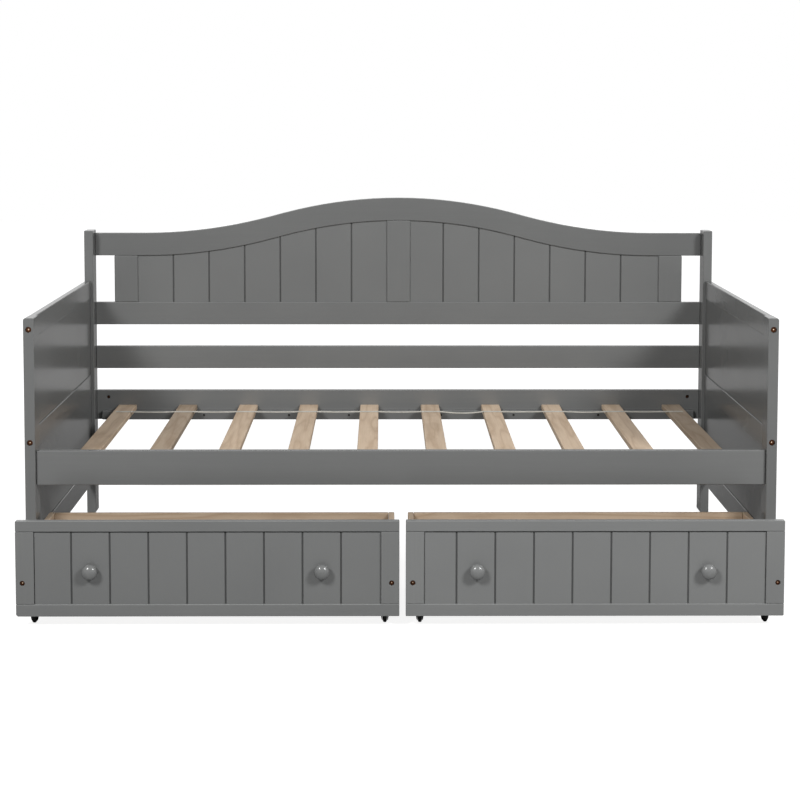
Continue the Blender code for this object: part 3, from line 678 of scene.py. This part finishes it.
def board_outline(low, high, rounded):
    """A board's (x, z) outline. rounded gives the radius of its round corners by (side, top)."""
    centre_x, centre_z = (low[0] + high[0]) / 2, (low[1] + high[1]) / 2
    half_x, half_z = (high[0] - low[0]) / 2, (high[1] - low[1]) / 2
    outline = []
    for side, top, start in CORNERS:
        if (side, top) not in rounded:
            outline.append((centre_x + side * half_x, centre_z + top * half_z))
            continue
        radius = rounded[side, top]
        for k in range(CORNER_STEPS + 1):
            angle = math.radians(start + 90 * k / CORNER_STEPS)
            x = centre_x + side * (half_x - radius) + radius * math.cos(angle)
            outline.append((x, centre_z + top * (half_z - radius) + radius * math.sin(angle)))
    return outline


def board_bm(outline, front, back):
    bm = bmesh.new()
    near = [bm.verts.new((x, front, z)) for x, z in outline]
    rear = [bm.verts.new((x, back, z)) for x, z in outline]
    for k in range(len(outline)):
        bm.faces.new((near[k - 1], near[k], rear[k], rear[k - 1]))
    bm.faces.new(near)
    bm.faces.new(rear[::-1])
    return bm


def make_drawer_front(end):
    body = f"{end}_drawer"
    outer = ENDS[end]
    low, high, _ = node_box(f"{body}_frame")
    top_low, bottom_high = high.z - TOP_RAIL, low.z + BOTTOM_RAIL
    left_high, right_low = low.x + STILE, high.x - STILE
    boards = {
        "top_rail": ((low.x, top_low + SEAM), (high.x, high.z), {(outer, 1): TOP_CORNER}),
        "bottom_rail": ((low.x, low.z), (high.x, bottom_high - SEAM), {(outer, -1): FOOT_CORNER[end]}),
        "left_stile": ((low.x, bottom_high + SEAM), (left_high, top_low - SEAM), {}),
        "right_stile": ((right_low, bottom_high + SEAM), (high.x, top_low - SEAM), {}),
    }
    made = {}
    for name, outline in boards.items():
        is_rail = name.endswith("rail")
        look = DRAWER_PAINT[end] + ("_x" if is_rail else "_z")
        obj = piece(f"{body}_{name}", board_bm(board_outline(*outline), low.y, high.y), look, body,
                    [f"{body}_frame"])
        soften(obj, RAIL_ROUND if is_rail else STILE_ROUND, BOARD_STEPS, weld=False)
        # Painted light: the rails' upward faces take the much paler copy of the paint
        if is_rail:
            obj.data.materials.append(looks["lit_top"])
            for face in obj.data.polygons:
                face.material_index = int(face.normal.z > UPWARD)
        made[name] = obj
    open_gaps(body, left_high, right_low, bottom_high, top_low)
    return made


def open_gaps(body, left, right, bottom, top):
    """Narrow gaps between a drawer's panel and its frame, along the top and down both sides."""
    front = node_box(f"{body}_panel")[0].y
    gaps = {"top": ((left, top - TOP_GAP), (right, top + GAP_RUN)),
            "left": ((left - GAP_RUN, bottom), (left + SIDE_GAP, top)),
            "right": ((right - SIDE_GAP, bottom), (right + GAP_RUN, top))}
    for name, ((low_x, low_z), (high_x, high_z)) in gaps.items():
        tool = box_bm((low_x, front - GAP_RUN, low_z), (high_x, front + GAP_DEPTH, high_z))
        cut(nodes[f"{body}_panel"], cutter(f"{body}_{name}_gap", tool, body))


fronts = {end: make_drawer_front(end) for end in ENDS}


# Knobs, casters and drawer bottoms

KNOB_SIDES = 48
KNOB_RINGS = 22
KNOB_FOOT = 0.0110
KNOB_FOOT_PROFILE = ((0, 0.0), (1, 0.0), (1, 0.0008), (0.93, 0.0014))   # shares of its radius, heights
KNOB_NECK = (0.0092, 0.0028)    # radius, height
KNOB_HEAD = 0.87                # of the knob's length
KNOB_START = 0.12               # radians between the neck and the head's first ring
KNOB_BLUNT = 0.92               # below 1 the head is squarer
KNOB_SHARP = 40                 # degrees


def make_knob(end, side):
    body = f"{end}_drawer"
    name = f"{body}_{side}_knob"
    low, high, middle = node_box(name)
    radius, length = (high.x - low.x) / 2, high.y - low.y
    half_head = length * KNOB_HEAD / 2
    profile = [*scaled(KNOB_FOOT, KNOB_FOOT_PROFILE), KNOB_NECK]
    start = math.asin(KNOB_NECK[0] / radius) + KNOB_START
    for k in range(KNOB_RINGS):
        angle = start + (math.pi - start) * k / KNOB_RINGS
        profile.append((radius * math.sin(angle) ** KNOB_BLUNT, length - half_head * (1 + math.cos(angle))))
    profile.append((0, length))
    matrix = facing(Vector((middle.x, high.y, middle.z)), (0, -1, 0))
    piece(name + "_turned", lathe(profile, KNOB_SIDES, matrix=matrix), DRAWER_PAINT[end] + "_flat", body,
          [name], KNOB_SHARP)


WHEEL_NAMES = ("front_left", "front_right", "back_left", "back_right")
CASTER_TOP = 0.048
# The fork's sections: height, half width, half depth, and an exponent, the lower the squarer
FORK_SECTIONS = (
    (CASTER_TOP, 0.0100, 0.0170, 0.45),
    (0.0450, 0.0100, 0.0170, 0.45),
    (0.0438, 0.0099, 0.0160, 0.7),
    (0.0340, 0.0098, 0.0125, 0.7),
    (0.0260, 0.0098, 0.0105, 0.7),
    (0.0180, 0.0097, 0.0094, 0.7),
    (0.0140, 0.0095, 0.0088, 0.7),
    (0.0105, 0.0090, 0.0080, 0.7),
    (0.0078, 0.0084, 0.0068, 0.7),
    (0.0058, 0.0077, 0.0050, 0.7),
    (0.0048, 0.0071, 0.0032, 0.7),
)
FORK_SIDES = 24
SLOT_ROOM, SLOT_ABOVE = 0.0003, 0.004   # beside and above the wheel
SLOT_REACH, SLOT_LOW = 0.03, -0.01      # past the fork in depth, and below the floor
AXLE_REACH = 0.0090             # from the wheel's middle to a cap
AXLE_CAP = ((0, 0.0), (0.0026, 0.0), (0.0026, 0.0004), (0.0021, 0.0008), (0, 0.0009))   # radii, heights
AXLE_SIDES = 20
TYRE_WIDTH = 0.0114
TYRE_HUB = 0.0045               # radius where the tyre's rounding starts
TYRE_BORE = 0.0028
TYRE_BLUNT = 0.62               # below 1 the tyre is squarer
TYRE_SIDES, TYRE_STEPS = 40, 16
CASTER_SHARP, AXLE_SHARP = 35, 30       # degrees


def signed_power(value, power):
    return math.copysign(abs(value) ** power, value)


def fork_bm(x, y):
    """A closed shell through FORK_SECTIONS round a point."""
    bm = bmesh.new()
    rings = []
    for z, half_x, half_y, power in FORK_SECTIONS:
        ring = []
        for k in range(FORK_SIDES):
            angle = 2 * math.pi * k / FORK_SIDES
            reach_x = signed_power(math.cos(angle), power) * half_x
            reach_y = signed_power(math.sin(angle), power) * half_y
            ring.append(bm.verts.new((x + reach_x, y + reach_y, z)))
        rings.append(ring)
    for upper, lower in zip(rings, rings[1:]):
        for k in range(FORK_SIDES):
            bm.faces.new((upper[k], upper[k - 1], lower[k - 1], lower[k]))
    bm.faces.new(rings[0])
    bm.faces.new(rings[-1][::-1])
    return bm


def make_caster(end, index):
    """A black fork under the drawer's bottom, tapering to its foot, with its wheel."""
    body = f"{end}_drawer"
    wheel_body = f"{body}_wheel_{index + 1}"
    low, high, centre = node_box(wheel_body)
    radius = (high.z - low.z) / 2
    half = TYRE_WIDTH / 2
    name = f"{body}_caster_{WHEEL_NAMES[index]}"
    fork = piece(name, fork_bm(centre.x, centre.y), "black", body, [f"{body}_bottom"], CASTER_SHARP)
    slot = box_bm((centre.x - half - SLOT_ROOM, centre.y - SLOT_REACH, SLOT_LOW),
                  (centre.x + half + SLOT_ROOM, centre.y + SLOT_REACH, centre.z + radius + SLOT_ABOVE))
    cut(fork, cutter(name + "_slot", slot, body))
    caps = bmesh.new()
    for side in (-1, 1):
        spot = Vector((centre.x + side * AXLE_REACH, centre.y, centre.z))
        lathe(AXLE_CAP, AXLE_SIDES, caps, facing(spot, (side, 0, 0)))
    piece(name + "_axle", caps, "dark_metal", body, smooth=AXLE_SHARP)
    profile = [(TYRE_BORE, -half)]
    for k in range(TYRE_STEPS + 1):
        angle = math.pi * k / TYRE_STEPS
        across = -half * signed_power(math.cos(angle), TYRE_BLUNT)
        profile.append((TYRE_HUB + (radius - TYRE_HUB) * math.sin(angle) ** TYRE_BLUNT, across))
    profile.append((TYRE_BORE, half))
    wheel = lathe(profile, TYRE_SIDES, matrix=facing(centre, (1, 0, 0)))
    piece(wheel_body + "_tyre", wheel, "black", wheel_body, [wheel_body], CASTER_SHARP)


BOTTOM_THICKNESS = 0.006
BOTTOM_ROUND = 0.0006


def make_bottom(end):
    """The drawer's bottom board, let into the sides."""
    body = f"{end}_drawer"
    low, high, _ = node_box(f"{body}_bottom")
    bm = box_bm((low.x, low.y, CASTER_TOP), (high.x, high.y, CASTER_TOP + BOTTOM_THICKNESS))
    soften(piece(f"{body}_bottom_board", bm, "pine_x", body, [f"{body}_bottom"]), BOTTOM_ROUND, weld=False)


for end in ENDS:
    make_bottom(end)
    for side in ENDS:
        make_knob(end, side)
    for index in range(len(WHEEL_NAMES)):
        make_caster(end, index)


# Fasteners

BOLT_SIDES = 24
BORE_ABOVE = 0.004              # how far a bore's tool stands out of the wood
POST_BOLT, DRAWER_BOLT = 0.0074, 0.0058         # head radii
BOLT_SINK = 0.0034              # head below the wood
BOLT_BORE = 0.0065              # depth
BOLT_RIM = 0.0008               # bore wider than the head
SOCKET_SHARE = 0.42             # of the head's radius
GLINT_SHARE = 0.5                # painted glint: the socket's middle, within this share of its radius
# Shares of the head's or socket's radius, heights from the head's face, and corners
BOLT_HEAD = ((0, -0.0024), (1, -0.0024), (1, -0.0005), (0.95, -0.0001), (0.86, 0.0))
BOLT_SOCKET = ((1.12, 0.0001, 6), (1, -0.0002, 6), (0.96, -0.0018, 6), (0.55, -0.0020), (0, -0.0012))
BOLT_SHARP = 28                 # degrees
SCREW_RADIUS = 0.0038
SCREW_HEAD = ((0, -0.0006), (1, -0.0006), (1, 0.0002), (0.9, 0.0006), (0.55, 0.0007), (0.34, 0.0004),
              (0, -0.0002))
SCREW_SIDES = 20
SCREW_SHARP = 30                # degrees
NUT_RADIUS = 0.0050
NUT_BORE = 0.005                # depth
NUT_RIM = 0.0004                # bore wider than the nut
NUT_HEAD = ((0, -0.0046), (1, -0.0046), (1, -0.0028), (0.86, -0.0022), (0, -0.0020))
NUT_SLOT = 0.0006               # half its width
NUT_SLOT_LOW, NUT_SLOT_HIGH = -0.0032, 0.002
NUT_X = 0.934                   # from the bed's middle


def bore(name, body, host, matrix, radius, depth):
    """Cuts a round bore into a host, for the fastener of that name."""
    profile = [(0, -depth), (radius, -depth), (radius, BORE_ABOVE), (0, BORE_ABOVE)]
    cut(host, cutter(name + "_bore", lathe(profile, BOLT_SIDES, matrix=matrix), body))


def make_bolt(name, body, host, centre, direction, radius):
    """A socket-head connecting bolt in a bore of its own."""
    centre, direction = Vector(centre), Vector(direction)
    matrix = facing(centre, direction)
    bore(name, body, host, matrix, radius + BOLT_RIM, BOLT_BORE)
    socket = radius * SOCKET_SHARE
    profile = scaled(radius, BOLT_HEAD, -BOLT_SINK) + scaled(socket, BOLT_SOCKET, -BOLT_SINK)
    bolt = piece(name, lathe(profile, BOLT_SIDES, matrix=matrix), "bronze", body, smooth=BOLT_SHARP)
    # Painted glint: the socket's middle takes the bright bronze
    bolt.data.materials.append(looks["bronze_glint"])
    for face in bolt.data.polygons:
        away = face.center - centre
        reach = (away - direction * away.dot(direction)).length
        face.material_index = int(reach < socket * GLINT_SHARE)


def make_screw(name, body, centre, direction):
    """A dark countersunk screw head with a recess."""
    head = lathe(scaled(SCREW_RADIUS, SCREW_HEAD), SCREW_SIDES, matrix=facing(Vector(centre), direction))
    piece(name, head, "dark_metal", body, smooth=SCREW_SHARP)


def make_barrel_nut(name, body, host, centre, direction):
    """A slotted barrel nut at the bottom of its cross bore."""
    matrix = facing(Vector(centre), direction)
    bore(name, body, host, matrix, NUT_RADIUS + NUT_RIM, NUT_BORE)
    nut = lathe(scaled(NUT_RADIUS, NUT_HEAD), BOLT_SIDES, matrix=matrix)
    obj = piece(name, nut, "bronze", body, smooth=BOLT_SHARP)
    slot = box_bm((-NUT_RADIUS * 2, -NUT_SLOT, NUT_SLOT_LOW), (NUT_RADIUS * 2, NUT_SLOT, NUT_SLOT_HIGH))
    bmesh.ops.transform(slot, matrix=matrix, verts=slot.verts)
    cut(obj, cutter(name + "_slot", slot, body))


RAIL_END_GAP = 0.0018           # front rail's ends to the posts
rail_low, rail_high, _ = node_box("front_side_rail")
for name, start, stop in (("left", rail_low.x - GAP_RUN, rail_low.x + RAIL_END_GAP),
                          ("right", rail_high.x - RAIL_END_GAP, rail_high.x + GAP_RUN)):
    tool = box_bm((start, rail_low.y - GAP_RUN, rail_low.z - GAP_RUN),
                  (stop, rail_high.y + GAP_RUN, rail_high.z + GAP_RUN))
    cut(nodes["front_side_rail"], cutter(f"front_rail_{name}_gap", tool, FRAME_BODY))

POST_BOLT_HEIGHTS = (0.719, 0.4167)     # through the posts' front and rear faces
for end in ENDS:
    for k, height in enumerate(POST_BOLT_HEIGHTS, 1):
        for place, toward in (("front", -1), ("back", 1)):
            post = f"{end}_{place}_post"
            low, high, middle = node_box(post)
            spot = (middle.x, low.y if toward < 0 else high.y, height)
            make_bolt(f"{post}_bolt_{k}", FRAME_BODY, nodes[post], spot, (0, toward, 0), POST_BOLT)

# Heights of the bolts through the posts' outer faces into each rail
SIDE_BOLTS = {
    "front_side_rail": (0.318, 0.368),
    "back_side_rail": (0.318, 0.368),
    "back_middle_rail": (0.497,),
    "back_panel_rail": (0.639,),
    "back_arch_rail": (0.862,),
}
for rail, heights in SIDE_BOLTS.items():
    rail_low, rail_high, rail_middle = node_box(rail)
    for end, side in ENDS.items():
        post = f"{end}_{rail.split('_')[0]}_post"
        post_low, post_high, _ = node_box(post)
        outer = post_low.x if side < 0 else post_high.x
        toward, nut_y = (-1, rail_low.y) if rail == "back_side_rail" else (1, rail_high.y)
        for k, height in enumerate(heights, 1):
            make_bolt(f"{rail}_{end}_bolt_{k}", FRAME_BODY, nodes[post], (outer, rail_middle.y, height),
                      (side, 0, 0), POST_BOLT)
            make_barrel_nut(f"{rail}_{end}_nut_{k}", FRAME_BODY, nodes[rail], (side * NUT_X, nut_y, height),
                            (0, toward, 0))

DRAWER_BOLT_INSETS = {"left": (0.0165, 0.0195), "right": (0.0177, 0.0160)}
DRAWER_BOLT_HEIGHT = 0.1151
for end, (left_inset, right_inset) in DRAWER_BOLT_INSETS.items():
    body = f"{end}_drawer"
    low, high, _ = node_box(f"{body}_frame")
    for name, x in (("left", low.x + left_inset), ("right", high.x - right_inset)):
        make_bolt(f"{body}_{name}_bolt", body, fronts[end][f"{name}_stile"], (x, low.y, DRAWER_BOLT_HEIGHT),
                  (0, -1, 0), DRAWER_BOLT)

LEDGER_SCREWS = (-0.625, -0.352, -0.159, 0.137, 0.371, 0.644)   # along X
for ledger, toward in (("back_ledger", -1), ("front_ledger", 1)):
    low, high, middle = node_box(ledger)
    for k, x in enumerate(LEDGER_SCREWS, 1):
        spot = (x, low.y if toward < 0 else high.y, middle.z)
        make_screw(f"{ledger}_screw_{k}", FRAME_BODY, spot, (0, toward, 0))


# Webbing across the slats

TAPES = {"back_webbing": 0.894, "front_webbing": 0.167}     # in the bed's own Y
TAPE_WIDTH, TAPE_THICKNESS = 0.019, 0.0009
# Its outline, across and up, in halves of its width and thickness
TAPE_SECTION = ((-1, -0.6), (-0.94, -1), (0.94, -1), (1, -0.6), (1, 0.6), (0.94, 1), (-0.94, 1), (-1, 0.6))
TAPE_LIFT = 0.0004              # clear of the slats
TAPE_END = 0.012                # from the outer slats' outer edges
TAPE_EDGE = 0.001               # from a slat's edge to the tape's nearest ring
TAPE_STEPS = 8                  # along each bay
TAPE_SWAY = 0.0015              # sideways in the bays
SWAY_BAY, SWAY_STEP = 3, 4      # radians of the sway from bay to bay, and along one
BAY_SAG = (0.0020, 0.0012, 0.0016, 0.0010, 0.0018, 0.0046, 0.0012, 0.0020, 0.0014)
TAPE_SHARP = 50                 # degrees


def tape_bm(path):
    """A flat tape along X whose middle follows path."""
    bm = bmesh.new()
    width_axis = Vector((0, 1, 0))
    half = width_axis * TAPE_WIDTH / 2
    rings = []
    for k, spot in enumerate(path):
        ahead = path[min(k + 1, len(path) - 1)] - path[max(k - 1, 0)]
        rise = ahead.cross(width_axis).normalized() * TAPE_THICKNESS / 2
        if rise.z < 0:
            rise = -rise
        rings.append([bm.verts.new(spot + half * across + rise * up) for across, up in TAPE_SECTION])
    for near, far in zip(rings, rings[1:]):
        for k in range(len(TAPE_SECTION)):
            bm.faces.new((near[k - 1], near[k], far[k], far[k - 1]))
    bm.faces.new(rings[0])
    bm.faces.new(rings[-1][::-1])
    return bm


def make_tape(name, y, sags):
    """A tape that lies on every slat and sags a little in the bays between them."""
    slats = [node_box(f"slat_{k:02d}") for k in SLAT_NUMBERS]
    top = slats[0][1].z + TAPE_LIFT + TAPE_THICKNESS / 2
    path = [Vector((slats[0][0].x + TAPE_END, y, top))]
    for k, (low, high, middle) in enumerate(slats):
        if k:
            path.append(Vector((low.x + TAPE_EDGE, y, top)))
        path.append(Vector((middle.x, y, top)))
        if k < len(slats) - 1:
            path.append(Vector((high.x - TAPE_EDGE, y, top)))
            run = slats[k + 1][0].x - high.x
            for step in range(1, TAPE_STEPS):
                share = step / TAPE_STEPS
                sway = TAPE_SWAY * math.sin(SWAY_BAY * k + SWAY_STEP * share)
                dip = sags[k] * 4 * share * (1 - share)
                path.append(Vector((high.x + run * share, y + sway, top - dip)))
    path.append(Vector((slats[-1][1].x - TAPE_END, y, top)))
    piece(name, tape_bm(path), "webbing", FRAME_BODY, smooth=TAPE_SHARP)


for name, place in TAPES.items():
    make_tape(name, place - ORIGIN_SHIFT, BAY_SAG if name.startswith("back") else BAY_SAG[::-1])
